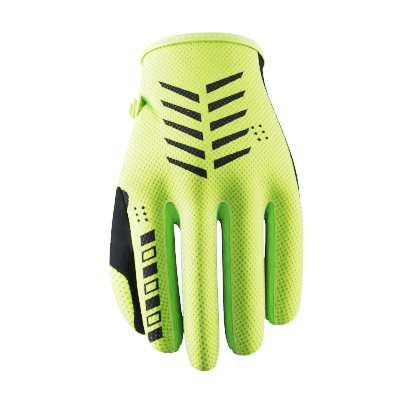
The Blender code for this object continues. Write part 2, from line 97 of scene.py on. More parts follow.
# Places on the back of the glove are two lengths, across and up
PICTURE_MIDDLE = in_metres((-1.7, -85.6))[0]
STRAP_EDGE = in_metres(
    (-36.3, -24.6),
    (-36.2, -26.5),
    (-36.5, -29.5),
    (-37.1, -32.5),
    (-37.7, -35.2),
    (-38.1, -37.2),
)
WRIST_STITCHES = in_metres((-33.3, -6.0), (-33.6, -12.0), (-34.0, -18.0), (-34.6, -23.5))

# Place of the first vent of each field, and lean of its rows
VENT_FIELDS = in_metres((29.0, -43.5, 1.9), (-39.4, -90.5, 1.0))
VENT_COLUMNS = 2
VENT_ROWS = 3

# Right border of the suede at the thumb, from below its round end to its tip
THUMB_BORDER = in_metres(
    (-42.9, -85.6),
    (-43.0, -88.5),
    (-44.3, -92.6),
    (-43.4, -96.5),
    (-42.4, -99.5),
    (-40.2, -119.6),
    (-37.5, -139.0),
    (-33.7, -161.6),
)
# Middle and radius of that suede's round end
THUMB_END = in_metres((-47.8, -84.2))[0]
THUMB_END_RADIUS = 4.9 * MM
# Left border of the strip of suede that runs down the thumb
THUMB_STRIP = in_metres(
    (-47.5, -119.0),
    (-44.5, -129.0),
    (-40.5, -136.4),
    (-40.3, -158.0),
    (-38.5, -166.0),
)
# Least share by which the strip's cloth faces the front
STRIP_FACING = 0.4

# Creases pressed into the back: two ends, half width and depth
CREASES = in_metres(
    (-36.9, -24.5, -33.6, -27.8, 1.1, 1.5),
    (-33.6, -27.8, -26.0, -38.0, 2.2, 1.35),
    (-34.6, -28.0, -36.6, -35.0, 1.0, 0.9),
    (-38.0, -31.0, -34.0, -42.0, 2.0, -0.8),
    (-47.0, -66.0, -33.0, -79.0, 4.0, 0.35),
    (-44.0, -76.0, -30.0, -84.0, 3.0, 0.3),
    (-22.0, -76.0, -19.5, -90.0, 3.5, 0.3),
    (9.0, -76.0, 10.0, -88.0, 3.5, 0.25),
    (33.0, -76.0, 36.0, -86.0, 3.5, 0.2),
)
# Cloth that faces the palm side by more than this share isn't pressed
BACK_FACING = 0.3
# Share of its depth that a crease loses by its far end
CREASE_FADE = 0.6
# Depth at which the knit shows the full painted shade of a crease, and how fast that shade comes
FOLD_SHADE_DEPTH = 1.0 * MM
FOLD_SHADE_POWER = 1.5

# Print on the back: its middle line, its lean and top, and the number of bars on a side
PRINT_MIDDLE = -2.5 * MM
PRINT_LEAN = 0.10
PRINT_TOP = -14.0 * MM
BAR_ROWS = 5
# Print on the index finger: the two ends of its middle line, and the number of frames
INDEX_PRINT = in_metres((-32.5, -103.0), (-27.5, -169.0))
FRAME_COUNT = 7

# Light in the scene and brightness in the picture
TONES = (
    (0.0, 0.0),
    (0.10, 0.075),
    (0.20, 0.22),
    (0.35, 0.47),
    (0.55, 0.63),
    (0.80, 0.755),
    (1.20, 0.83),
    (2.0, 0.90),
    (3.5, 1.0),
)
# Lights: name, place from the glove's middle, and width and height, in metres
LIGHTS = (
    ("left_light", (-0.80, -0.05, 0.20), (0.30, 0.6)),
    ("right_light", (0.80, -0.03, 0.18), (0.30, 0.6)),
    ("top_light", (0.0, -0.35, 0.80), (0.8, 0.5)),
    ("front_light", (-0.30, -1.1, 0.12), (0.6, 0.6)),
)
SENSOR_WIDTH = 36.0
FLOOR_HALF_WIDTH = 6.0


def length(name, default, description):
    """A length that a user may change."""
    return FloatProperty(
        name=name, default=default, description=description, min=0.0, unit="LENGTH", precision=5
    )


def share(name, default, description):
    """A share, from 0 to 1."""
    return FloatProperty(
        name=name, default=default, description=description, min=0.0, max=1.0, subtype="FACTOR"
    )


def power(name, default, description):
    """A power of a lamp or a brightness."""
    return FloatProperty(name=name, default=default, description=description, min=0.0)


def colour(name, default, description):
    """A linear colour."""
    return FloatVectorProperty(
        name=name, default=default, description=description, subtype="COLOR", size=3, min=0.0, max=1.0
    )


class GloveCloth(bpy.types.PropertyGroup):
    """The knit, stretch cloth and suede."""

    knit_wall: length("Knit wall", 1.2 * MM, "Thickness of the knitted panels")
    gusset_wall: length("Gusset wall", 1.0 * MM, "Thickness of the stretch panels")
    suede_wall: length("Suede wall", 1.4 * MM, "Thickness of the suede panels")
    column_pitch: length("Knit column pitch", 1.5 * MM, "Distance between the knit's columns")
    row_pitch: length("Knit row pitch", 3.3 * MM, "Distance between two dimples of a column")
    dimple_depth: length("Dimple depth", 0.65 * MM, "Depth of the knit's dimples")
    knit: colour("Knit", (0.58, 0.82, 0.14), "Colour of the knit's threads")
    knit_shade: colour("Knit dimples", (0.32, 0.63, 0.095), "Colour inside the knit's dimples")
    # Painted shade: the colour that darkens the knit in its pressed creases, where shade falls
    knit_fold_shade: colour("Knit fold shade", (0.05, 0.21, 0.02), "Colour deep inside the knit's folds")
    # The stretch cloth's own green, made darker and greener than the knit as painted shade for the clefts
    # between the fingers
    stretch: colour("Stretch cloth", (0.32, 0.70, 0.13), "Colour of the stretch panels")
    suede: colour("Suede", (0.006, 0.007, 0.008), "Colour of the suede")
    suede_nap: colour("Suede nap", (0.017, 0.018, 0.018), "Colour of the suede where its nap is brushed up")


class GloveTrim(bpy.types.PropertyGroup):
    """The rolled seams, stitches, tape, strap and vents."""

    lip: length("Seam lip", 0.45 * MM, "Radius of the rolled edge along the finger seams")
    lip_inset: length("Seam lip inset", 0.3 * MM, "Distance of the rolled edge from the knit's rim")
    palm_lip: length("Palm lip", 0.75 * MM, "Radius of the rolled edge of the palm between the fingers")
    palm_lip_inset: length("Palm lip inset", 0.2 * MM, "Distance of that rolled edge from the palm's rim")
    stitch_length: length("Stitch", 1.7 * MM, "Length of a stitch")
    stitch_pitch: length("Stitch pitch", 2.5 * MM, "Distance from one stitch to the next")
    stitch_thick: length("Thread", 0.28 * MM, "Radius of the sewing thread")
    stitch_inset: length("Stitch inset", 1.5 * MM, "Distance of a row of stitches from its seam")
    finger_inset: length("Finger stitch inset", 1.3 * MM, "Distance of the stitches from the finger seams")
    tape_pitch: length("Tape stitch pitch", 3.5 * MM, "Distance between the stitches of the cuff's tape")
    tape_row: length("Tape stitches", 2.9 * MM, "Height of the tape's stitches above its lower edge")
    tape_cord: length("Tape cord", 0.45 * MM, "Radius of the cord at the tape's lower edge")
    strap_edge: length("Strap edge", 1.15 * MM, "Radius of the strap's edge where it laps over the knit")
    vent: length("Vent", 1.05 * MM, "Radius of a punched vent")
    vent_pitch: length("Vent pitch", 4.4 * MM, "Distance between two columns of vents")
    vent_rows: share("Vent rows", 0.8, "Distance between two rows of vents as a share of the vent pitch")
    binding: colour("Tape", (0.55, 0.82, 0.18), "Colour of the cuff's tape")
    rubber: colour("Pull", (0.62, 0.84, 0.30), "Colour of the strap's pull")
    # Painted highlight: the rolled knit edge is paler than the knit, as where it catches the light; its
    # round shape also catches real light
    lip_highlight: colour("Seam lip colour", (0.66, 0.92, 0.30), "Colour of the rolled finger seams")
    # Painted shade: a dark line along each stitch row, for the shade in the groove that the stitches draw
    # in
    needle_line: colour("Needle line", (0.22, 0.46, 0.06), "Colour of the cloth drawn in under stitches")
    thread: colour("Pale thread", (0.82, 0.95, 0.52), "Colour of the pale sewing thread")
    # Also the colour of the vents' dark discs, which are painted shade for their holes
    dark_thread_and_vent_shade: colour("Dark thread", (0.02, 0.02, 0.02), "Colour of the palm's sewing thread")


class GlovePrint(bpy.types.PropertyGroup):
    """The dark bars printed on the back and the small frames along the index finger."""

    ink: colour("Ink", (0.012, 0.013, 0.016), "Colour of the prints")
    bar_pitch: length("Bar pitch", 11.0 * MM, "Distance between the bars on the back")
    bar: length("Bar", 5.4 * MM, "Thickness of a bar at the middle of the back")
    bar_reach: length("Bar reach", 25.5 * MM, "Distance of the bars' outer ends from the middle")
    bar_gap: length("Bar gap", 2.2 * MM, "Distance of the bars' inner ends from the middle")
    bar_taper: share("Bar taper", 0.62, "Share of its thickness that a bar keeps at its outer end")
    bar_slope: share("Bar slope", 0.36, "Rise of a bar for its length")
    bar_cut: share("Bar cut", 0.6, "Slant of the bars' outer ends")
    frame_pitch: length("Frame pitch", 9.4 * MM, "Distance between the frames on the index finger")
    frame_wide: length("Frame width", 8.8 * MM, "Width of a frame")
    frame_line: length("Frame line", 1.5 * MM, "Thickness of an open frame's line")
    frame_tall: share("Frame height", 0.72, "Height of a frame as a share of the frame pitch")
    frame_slant: share("Frame slant", 0.45, "Rise of a frame for its width")


class GloveStage(bpy.types.PropertyGroup):
    """Camera, floor and lights."""

    camera_away: length("Camera distance", 9.0, "Distance of the camera from the front of the glove")
    frame_wide: length("Frame width", 0.232, "Width that the picture takes in at the glove")
    floor_drop: length("Floor drop", 1.6, "Height of the fingertips above the floor")
    left_light: power("Left light", 30.0, "Power of the left light in watts")
    right_light: power("Right light", 16.0, "Power of the right light in watts")
    top_light: power("Top light", 0.8, "Power of the top light in watts")
    front_light: power("Front light", 3.9, "Power of the front light in watts")
    backdrop: power("Backdrop", 5.0, "Brightness of the white behind the glove")
    surround: power("Surround", 0.05, "Strength of the light from all round")


class Glove(bpy.types.PropertyGroup):
    """Everything that a user may change on the glove."""

    cloth: PointerProperty(type=GloveCloth)
    trim: PointerProperty(type=GloveTrim)
    print: PointerProperty(type=GlovePrint)
    stage: PointerProperty(type=GloveStage)


class Finish:
    """A material whose nodes are joined by short calls."""

    def __init__(self, name, roughness, sheen=0.0, sheen_tint=(1, 1, 1), sheen_roughness=0.5, specular=0.3):
        self.material = bpy.data.materials.new(name)
        self.material.use_nodes = True
        self.tree = self.material.node_tree
        self.shader = self.tree.nodes["Principled BSDF"]
        self.set_shader("Roughness", roughness)
        self.set_shader("Sheen Weight", sheen)
        self.set_shader("Sheen Tint", (*sheen_tint, 1))
        self.set_shader("Sheen Roughness", sheen_roughness)
        self.set_shader("Specular IOR Level", specular)

    def set_shader(self, name, value):
        """Gives a socket of the surface a value or a link."""
        self.put(self.shader.inputs[name], value)

    def put(self, socket, value):
        """Links a socket if the value comes from another, and sets it otherwise."""
        if isinstance(value, bpy.types.NodeSocket):
            self.tree.links.new(value, socket)
        else:
            socket.default_value = value

    def node(self, kind, inputs=(), **settings):
        """A new node with its inputs put in."""
        made = self.tree.nodes.new(kind)
        for name, value in settings.items():
            setattr(made, name, value)
        for name, value in dict(inputs).items():
            self.put(made.inputs[name], value)
        return made

    def math(self, operation, *values, clamp=False):
        """A calculation on one or more values."""
        made = self.node("ShaderNodeMath", operation=operation, use_clamp=clamp)
        for socket, value in zip(made.inputs, values):
            self.put(socket, value)
        return made.outputs[0]

    def ramp(self, value, low, high, to_low=0.0, to_high=1.0):
        """A soft step between two values."""
        inputs = {"Value": value, "From Min": low, "From Max": high, "To Min": to_low, "To Max": to_high}
        return self.node("ShaderNodeMapRange", inputs, interpolation_type="SMOOTHSTEP").outputs[0]

    def line(self, value, span, low, high):
        """A straight change from low to high as the value goes from 0 to a span."""
        inputs = {"Value": value, "From Min": 0.0, "From Max": span, "To Min": low, "To Max": high}
        return self.node("ShaderNodeMapRange", inputs, clamp=False).outputs[0]

    def border(self, z, places):
        """The way across at a height, along a row of places."""
        high, low = places[0][1], places[-1][1]
        left, right = min(x for x, _ in places), max(x for x, _ in places)
        drop = self.line(self.math("SUBTRACT", high, z), high - low, 0.0, 1.0)
        curve = self.node("ShaderNodeFloatCurve", {"Value": drop})
        points = curve.mapping.curves[0].points
        spots = [((high - up) / (high - low), (x - left) / (right - left)) for x, up in places]
        points[0].location = spots[0]
        points[1].location = spots[-1]
        for spot in spots[1:-1]:
            points.new(*spot)
        for point in points:
            point.handle_type = "VECTOR"
        curve.mapping.update()
        return self.line(curve.outputs[0], 1.0, left, right)

    def mix(self, factor, first, second):
        """A blend of two colours, each a socket or three shares."""
        made = self.node("ShaderNodeMix", data_type="RGBA")
        factor_in, first_in, second_in = made.inputs[0], made.inputs[6], made.inputs[7]
        self.put(factor_in, factor)
        for socket, shade in ((first_in, first), (second_in, second)):
            self.put(socket, shade if isinstance(shade, bpy.types.NodeSocket) else (*shade, 1))
        return made.outputs[2]

    def noise(self, scale, detail=2.0):
        """Cloudy noise through the solid."""
        inputs = {"Scale": scale, "Detail": detail, "Vector": self.place()}
        return self.node("ShaderNodeTexNoise", inputs).outputs[0]

    def place(self):
        """The place on the piece, in metres."""
        return self.node("ShaderNodeTexCoord").outputs["Object"]

    def across_and_up(self):
        """The place's two lengths across and up the glove."""
        parts = self.node("ShaderNodeSeparateXYZ", {0: self.place()})
        return parts.outputs[0], parts.outputs[2]

    def flat(self):
        """The two directions of the cloth as it was cut, in metres."""
        cloth = self.node("ShaderNodeUVMap", uv_map="cloth").outputs[0]
        parts = self.node("ShaderNodeSeparateXYZ", {0: cloth})
        return parts.outputs[0], parts.outputs[1]

    def facing_front(self, least):
        """1 where the surface faces the front by more than a share."""
        way = self.node("ShaderNodeNewGeometry").outputs["True Normal"]
        parts = self.node("ShaderNodeSeparateXYZ", {0: way})
        return self.math("LESS_THAN", parts.outputs[1], -least)

    def bump(self, height, depth):
        """Relief of a depth in metres."""
        made = self.node("ShaderNodeBump", {"Height": height, "Distance": depth, "Strength": 1.0})
        self.set_shader("Normal", made.outputs[0])


def tinted(shade, factor):
    """A colour made lighter or darker."""
    return tuple(part * factor for part in shade)


def multiply_all(finish, *values):
    """The product of some values."""
    total = values[0]
    for value in values[1:]:
        total = finish.math("MULTIPLY", total, value)
    return total


def knit_dimples(finish, cloth):
    """1 in the middle of each of the knit's staggered dimples, down to -1 between them."""
    across, along = finish.flat()
    turn_across = finish.math("MULTIPLY", across, math.pi / cloth.column_pitch)
    turn_along = finish.math("MULTIPLY", along, 2 * math.pi / cloth.row_pitch)
    column = finish.math("COSINE", turn_across)
    row = finish.math("COSINE", turn_along)
    long_row = finish.math("SQRT", finish.math("ABSOLUTE", row))
    return multiply_all(finish, column, finish.math("SIGN", row), long_row)


def bars_on_back(finish, style):
    """1 inside the slanted bars that meet in a herringbone on the back."""
    x, z = finish.across_and_up()
    lean = finish.math("MULTIPLY", z, PRINT_LEAN)
    across = finish.math("ADD", finish.math("SUBTRACT", x, PRINT_MIDDLE), lean)
    side = finish.math("ABSOLUTE", across)
    right = finish.math("GREATER_THAN", across, 0.0)
    drop = finish.math("SUBTRACT", PRINT_TOP, z)
    level = finish.math("ADD", drop, finish.math("MULTIPLY", side, style.bar_slope))
    level = finish.math("ADD", level, finish.math("MULTIPLY", right, style.bar_pitch / 2))
    row = finish.math("DIVIDE", level, style.bar_pitch)
    within = finish.math("MULTIPLY", finish.math("FRACT", row), style.bar_pitch)
    thick = finish.ramp(side, 0.0, style.bar_reach, style.bar, style.bar * style.bar_taper)
    cut = finish.math("ADD", side, finish.math("MULTIPLY", within, style.bar_cut))
    return multiply_all(
        finish,
        finish.math("LESS_THAN", within, thick),
        finish.math("GREATER_THAN", row, 1.0),
        finish.math("LESS_THAN", row, 1.0 + BAR_ROWS),
        finish.math("GREATER_THAN", side, style.bar_gap),
        finish.math("LESS_THAN", cut, style.bar_reach),
    )


def frames_on_index(finish, style):
    """1 inside the slanted frames printed down the index finger, solid and open in turn."""
    x, z = finish.across_and_up()
    (x_start, start), (x_end, end) = INDEX_PRINT
    half_wide = style.frame_wide / 2
    half_tall = style.frame_pitch * style.frame_tall / 2
    drop = finish.math("SUBTRACT", start, z)
    across = finish.math("SUBTRACT", x, finish.line(drop, start - end, x_start, x_end))
    level = finish.math("ADD", drop, finish.math("MULTIPLY", across, style.frame_slant))
    row = finish.math("DIVIDE", level, style.frame_pitch)
    from_row = finish.math("ABSOLUTE", finish.math("SUBTRACT", finish.math("FRACT", row), 0.5))
    within = finish.math("MULTIPLY", from_row, style.frame_pitch)
    away = finish.math("ABSOLUTE", across)
    tall = finish.math("LESS_THAN", within, half_tall)
    wide = finish.math("LESS_THAN", away, half_wide)
    solid = finish.math("LESS_THAN", finish.math("FRACT", finish.math("MULTIPLY", row, 0.5)), 0.5)
    filled = finish.math("MULTIPLY", solid, style.frame_pitch)
    hole_height = finish.math("SUBTRACT", half_tall - style.frame_line, filled)
    hole_tall = finish.math("LESS_THAN", within, hole_height)
    hole_wide = finish.math("LESS_THAN", away, half_wide - style.frame_line)
    whole = finish.math("MULTIPLY", tall, wide)
    hole = finish.math("MULTIPLY", hole_tall, hole_wide)
    return multiply_all(
        finish,
        finish.math("SUBTRACT", whole, hole, clamp=True),
        finish.math("GREATER_THAN", row, 0.0),
        finish.math("LESS_THAN", row, FRAME_COUNT),
    )


def suede_on_back(finish):
    """1 on the suede at the thumb: left of its border, and inside its round end."""
    x, z = finish.across_and_up()
    below = finish.math("LESS_THAN", z, THUMB_BORDER[0][1])
    inside = finish.math("LESS_THAN", x, finish.border(z, THUMB_BORDER))
    x_end, z_end = THUMB_END
    across = finish.math("POWER", finish.math("SUBTRACT", x, x_end), 2.0)
    up = finish.math("POWER", finish.math("SUBTRACT", z, z_end), 2.0)
    round_end = finish.math("LESS_THAN", finish.math("ADD", across, up), THUMB_END_RADIUS**2)
    return finish.math("MAXIMUM", finish.math("MULTIPLY", below, inside), round_end)


def suede_on_thumb(finish):
    """1 on the strip of suede down the front of the thumb, right of its border."""
    x, z = finish.across_and_up()
    inside = finish.math("GREATER_THAN", x, finish.border(z, THUMB_STRIP))
    return finish.math("MULTIPLY", finish.facing_front(STRIP_FACING), inside)


def knit_finish(cloth, style=None):
    """The knit of the back with its prints in a style, or else the knit of the thumb."""
    finish = Finish("knit" if style else "thumb knit", 0.8, 0.6, (1.0, 1.0, 0.62), 0.3, 0.2)
    weave = knit_dimples(finish, cloth)
    dimple = finish.ramp(weave, 0.25, 0.85)
    threads = finish.noise(90.0, 3.0)
    light = finish.mix(finish.ramp(threads, 0.3, 0.7), cloth.knit, tinted(cloth.knit, 0.93))
    shade = finish.mix(dimple, light, cloth.knit_shade)
    # Painted shade: the knit darkens in its creases by how deep each point lies
    fold = finish.node("ShaderNodeAttribute", attribute_name="fold").outputs["Fac"]
    shade = finish.mix(fold, shade, cloth.knit_fold_shade)
    if style:
        marked = finish.math("MAXIMUM", bars_on_back(finish, style), frames_on_index(finish, style))
        marked = finish.math("MULTIPLY", marked, finish.facing_front(0.0))
        ink = finish.mix(finish.ramp(weave, -0.9, 0.6), tinted(style.ink, 1.35), style.ink)
        shade = finish.mix(marked, shade, ink)
        covered = suede_on_back(finish)
    else:
        covered = suede_on_thumb(finish)
    nap = finish.ramp(finish.noise(1500.0, 3.0), 0.35, 0.75)
    shade = finish.mix(covered, shade, finish.mix(nap, cloth.suede, cloth.suede_nap))
    finish.set_shader("Base Color", shade)
    finish.set_shader("Sheen Weight", finish.line(covered, 1.0, 0.35, 0.08))
    dimple = finish.math("MULTIPLY", dimple, finish.math("SUBTRACT", 1.0, covered))
    finish.bump(finish.math("SUBTRACT", finish.math("MULTIPLY", threads, 0.15), dimple), cloth.dimple_depth)
    return finish.material


def stretch_finish(cloth):
    """Smooth green stretch cloth, darkened with painted shade for the clefts between the fingers."""
    finish = Finish("stretch cloth", 0.6, 0.35, (0.9, 1.0, 0.6), 0.4)
    patches = finish.noise(60.0, 3.0)
    finish.set_shader("Base Color", finish.mix(patches, cloth.stretch, tinted(cloth.stretch, 0.8)))
    finish.bump(finish.noise(1800.0, 2.0), 0.12 * MM)
    return finish.material


def suede_finish(cloth):
    """Black suede with its nap brushed up in places."""
    finish = Finish("napped suede", 0.95, 0.07, (0.8, 0.85, 0.9), 0.5, 0.1)
    brushed = finish.ramp(finish.noise(140.0, 4.0), 0.42, 0.68)
    fibres = finish.noise(1500.0, 3.0)
    nap = finish.math("MULTIPLY", brushed, finish.ramp(fibres, 0.35, 0.7))
    finish.set_shader("Base Color", finish.mix(nap, cloth.suede, cloth.suede_nap))
    finish.bump(finish.math("ADD", fibres, finish.math("MULTIPLY", brushed, 0.6)), 0.3 * MM)
    return finish.material


def tape_finish(trim):
    """Pale elastic tape."""
    finish = Finish("cuff tape", 0.6, 0.2, (1.0, 1.0, 0.7), 0.35)
    fine = finish.noise(900.0, 2.0)
    finish.set_shader("Base Color", finish.mix(fine, trim.binding, tinted(trim.binding, 0.9)))
    finish.bump(fine, 0.12 * MM)
    return finish.material


def rubber_finish(trim):
    """Pale rubber, a little shinier in places."""
    finish = Finish("rubber pull", 0.4, specular=0.5)
    cloudy = finish.noise(200.0, 3.0)
    finish.set_shader("Base Color", finish.mix(cloudy, trim.rubber, tinted(trim.rubber, 0.92)))
    finish.set_shader("Roughness", finish.ramp(cloudy, 0.3, 0.7, 0.34, 0.5))
    finish.bump(finish.noise(1200.0, 1.0), 0.03 * MM)
    return finish.material


def thread_finish(name, shade):
    """Twisted thread of one colour."""
    finish = Finish(name, 0.7, 0.1)
    twist = finish.noise(2500.0, 1.0)
    finish.set_shader("Base Color", finish.mix(twist, shade, tinted(shade, 0.8)))
    finish.bump(twist, 0.05 * MM)
    return finish.material


def found_or_made(name, make, *values):
    """A material that is made when it is first asked for."""
    return bpy.data.materials.get(name) or make(*values)


def thread_of(name, shade):
    """The thread of a name, in its colour."""
    return found_or_made(name, thread_finish, name, shade)


def solid_copy(node):
    """The solid's mesh with its points merged."""
    mesh = bmesh.new()
    mesh.from_mesh(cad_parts[node].data)
    bmesh.ops.remove_doubles(mesh, verts=mesh.verts, dist=MERGE)
    return mesh


def sort_faces(mesh, wall):
    """Marks each face of a cloth wall as outer, cut edge or inner by its material index."""
    rungs = [edge for edge in mesh.edges if abs(edge.calc_length() - wall) < 2 * MERGE]
    border = {face for edge in rungs for face in edge.link_faces}
    left = set(mesh.faces) - border
    sides = []
    while left:
        stack = [left.pop()]
        side = []
        while stack:
            face = stack.pop()
            side.append(face)
            for edge in face.edges:
                for beside in edge.link_faces:
                    if beside in left:
                        left.remove(beside)
                        stack.append(beside)
        sides.append(side)
    sides.sort(key=lambda faces: -sum(face.calc_area() for face in faces))
    for faces, mark in ((border, EDGE), (sides[0], OUTER), (sides[1], INNER)):
        for face in faces:
            face.material_index = mark


def join_flat(mesh, bend=FLAT_BEND, **rules):
    """Joins pairs of triangles into four-sided faces, up to a bend between them."""
    bmesh.ops.join_triangles(
        mesh, faces=mesh.faces, angle_face_threshold=bend, angle_shape_threshold=FLAT_BEND, **rules
    )


def panel(node, wall):
    """A smooth closed cloth panel in place of a solid, whose faces keep their marks."""
    mesh = solid_copy(node)
    sort_faces(mesh, wall)
    join_flat(mesh, cmp_materials=True)
    crease = mesh.edges.layers.float.new("crease_edge")
    for edge in mesh.edges:
        marks = {face.material_index for face in edge.link_faces}
        edge[crease] = RIM_CREASE if len(marks) > 1 else 0.0
    return smoothed(mesh, f"{node}_cloth", 2)


def new_object(name, data):
    """A new object in the scene."""
    made = bpy.data.objects.new(name, data)
    bpy.context.scene.collection.objects.link(made)
    return made


def shaded_piece(name, mesh):
    """A mesh as a new object with smooth shading."""
    data = bpy.data.meshes.new(name)
    mesh.to_mesh(data)
    mesh.free()
    data.shade_smooth()
    return new_object(name, data)


def smoothed(mesh, name, levels):
    """The mesh as a new object, after subdivision."""
    data = bpy.data.meshes.new(name)
    for _ in (OUTER, EDGE, INNER):
        data.materials.append(None)
    mesh.to_mesh(data)
    mesh.free()
    piece = new_object(name, data)
    rounding = piece.modifiers.new("rounding", "SUBSURF")
    rounding.levels = levels
    rounding.render_levels = levels
    graph = bpy.context.evaluated_depsgraph_get()
    piece.data = bpy.data.meshes.new_from_object(piece.evaluated_get(graph))
    piece.modifiers.clear()
    bpy.data.meshes.remove(data)
    piece.data.name = name
    piece.data.shade_smooth()
    return piece


def crease_depth(place, x0, z0, x1, z1, wide, deep):
    """How deep a crease is at a place: round across it, and shallower at its far end."""
    start, way = Vector((x0, z0)), Vector((x1 - x0, z1 - z0))
    along = max(0.0, min(1.0, (place - start).dot(way) / way.length_squared))
    away = (place - start - way * along).length
    return deep * math.exp(-((away / wide) ** 2)) * (1.0 - CREASE_FADE * along)


def press_creases(piece):
    """Sinks the creases into the front of a panel, and notes how deep each point lies, as a share that
    paints shade into the knit's creases.
    """
    data = piece.data
    fold = data.attributes.new("fold", "FLOAT", "POINT")
    outs = [Vector(point.normal) for point in data.vertices]
    for face in data.polygons:
        if face.material_index == INNER:
            for at in face.vertices:
                outs[at] = -data.vertices[at].normal
    for at, (point, out) in enumerate(zip(data.vertices, outs)):
        if out.y < BACK_FACING:
            sink = sum(crease_depth(point.co.xz, *crease) for crease in CREASES)
            point.co -= out * sink
            fold.data[at].value = max(0.0, min(1.0, sink / FOLD_SHADE_DEPTH)) ** FOLD_SHADE_POWER
    data.update()


def wrap_flat(piece):
    """Gives the thumb's cloth a map wound round the thumb's middle line, in metres."""
    data = piece.data
    low = min(point.co.z for point in data.vertices)
    high = max(point.co.z for point in data.vertices)
    ends = []
    for least, most in ((0.0, 0.35), (0.65, 1.0)):
        near = [point.co for point in data.vertices if least <= (point.co.z - low) / (high - low) <= most]
        ends.append(sum(near, Vector()) / len(near))
    base, tip = ends
    way = (tip - base).normalized()
    side = way.cross(Vector((0, 1, 0))).normalized()
    deep = way.cross(side)
    deep = deep * math.copysign(1.0, deep.y)
    base = base + deep * THUMB_RADIUS
    cloth = data.uv_layers.new(name="cloth")
    for loop in data.loops:
        arm = data.vertices[loop.vertex_index].co - base
        turn = math.atan2(arm.dot(side), -arm.dot(deep))
        cloth.data[loop.index].uv = (turn * THUMB_RADIUS, arm.dot(way))


def unwrap_outer(piece):
    """Lays the outer cloth of a panel flat, with as little stretch as it can have."""
    data = piece.data
    mesh = bmesh.new()
    mesh.from_mesh(data)
    for edge in mesh.edges:
        edge.seam = len({face.material_index for face in edge.link_faces}) > 1
    mesh.select_mode = {"FACE"}
    for face in mesh.faces:
        face.select_set(face.material_index == OUTER)
    mesh.select_flush_mode()
    mesh.to_mesh(data)
    mesh.free()
    bpy.context.tool_settings.mesh_select_mode = (False, False, True)
    bpy.context.view_layer.objects.active = piece
    piece.select_set(True)
    bpy.ops.object.mode_set(mode="EDIT")
    bpy.ops.uv.unwrap(method="ANGLE_BASED", fill_holes=False)
    bpy.ops.uv.minimize_stretch(fill_holes=False, blend=0.0, iterations=60)
    bpy.ops.object.mode_set(mode="OBJECT")
    piece.select_set(False)


def lay_flat(piece):
    """Gives the outer cloth a map of how it lay before it was sewn, in metres, with the
    knit's columns running up the glove."""
    data = piece.data
    data.uv_layers.new(name="cloth")
    unwrap_outer(piece)
    mesh = bmesh.new()
    mesh.from_mesh(data)
    cloth = mesh.loops.layers.uv["cloth"]
    outer = [face for face in mesh.faces if face.material_index == OUTER]
    real = flat = 0.0
    upward = Vector((0, 0))
    for loop in (loop for face in outer for loop in face.loops):
        step = loop.link_loop_next[cloth].uv - loop[cloth].uv
        way = loop.link_loop_next.vert.co - loop.vert.co
        real += way.length
        flat += step.length
        upward += step * way.z
    turn = Matrix.Rotation(math.pi / 2 - math.atan2(upward.y, upward.x), 2)
    for loop in (loop for face in mesh.faces for loop in face.loops):
        if loop.face.material_index == OUTER:
            loop[cloth].uv = turn @ loop[cloth].uv * (real / flat)
        else:
            loop[cloth].uv = loop.vert.co.xz
    mesh.to_mesh(data)
    mesh.free()


def finish_piece(piece, material, replaced=None):
    """Puts a piece on the glove in its material."""
    materials = piece.data.materials
    if len(materials) == 0:
        materials.append(None)
    for at in range(len(materials)):
        materials[at] = material
    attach(piece, "root")
    if replaced:
        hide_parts(replaced)


def walked(edges):
    """Closed rows of points along some edges, begun in the order of the edges."""
    left = set(edges)
    rows = []
    for first in edges:
        point, row = first.verts[0], []
        while edge := next((found for found in point.link_edges if found in left), None):
            left.remove(edge)
            row.append(point)
            point = edge.other_vert(point)
        if row:
            rows.append(row)
    return rows


def rims(piece):
    """The outer rims of a panel, as closed rows of (place, way out, way in from the rim)."""
    mesh = bmesh.new()
    mesh.from_mesh(piece.data)
    edges = [e for e in mesh.edges if {face.material_index for face in e.link_faces} == {OUTER, EDGE}]
    rows = []
    for row in walked(edges):
        made = []
        for at, point in enumerate(row):
            faces = [face for face in point.link_faces if face.material_index == OUTER]
            out = sum((face.normal for face in faces), Vector()).normalized()
            along = (row[(at + 1) % len(row)].co - row[at - 1].co).normalized()
            inward = out.cross(along)
            centre = sum((face.calc_center_median() for face in faces), Vector()) / len(faces)
            if inward.dot(centre - point.co) < 0:
                inward.negate()
            made.append((point.co.copy(), out, inward.normalized()))
        rows.append(made)
    mesh.free()
    return rows


def tree_of(*names):
    """A search tree over the surfaces of some solids or finished pieces."""
    mesh = bmesh.new()
    for name in names:
        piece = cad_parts[name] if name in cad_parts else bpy.data.objects[name]
        mesh.from_mesh(piece.data)
    tree = BVHTree.FromBMesh(mesh)
    mesh.free()
    return tree


def lies_at(tree, point):
    """Whether a point of a rim lies at the surfaces of a tree."""
    return tree.find_nearest(point[0], SEAM_REACH)[0] is not None


def runs(piece, keep):
    """The stretches of a panel's rims whose points pass a test."""
    return [run for row in rims(bpy.data.objects[piece]) for run in kept_runs(row, keep)]


def kept_runs(row, keep):
    """The stretches of a closed row whose points pass a test."""
    kept = [keep(point) for point in row]
    if all(kept):
        return [row + row[:1]]
    if not any(kept):
        return []
    start = next(at for at in range(len(row)) if not kept[at - 1] and kept[at])
    found, run = [], []
    for step in range(len(row) + 1):
        at = (start + step) % len(row)
        if kept[at] and step < len(row):
            run.append(row[at])
        elif run:
            found.append(run)
            run = []
    return [run for run in found if len(run) > 3]


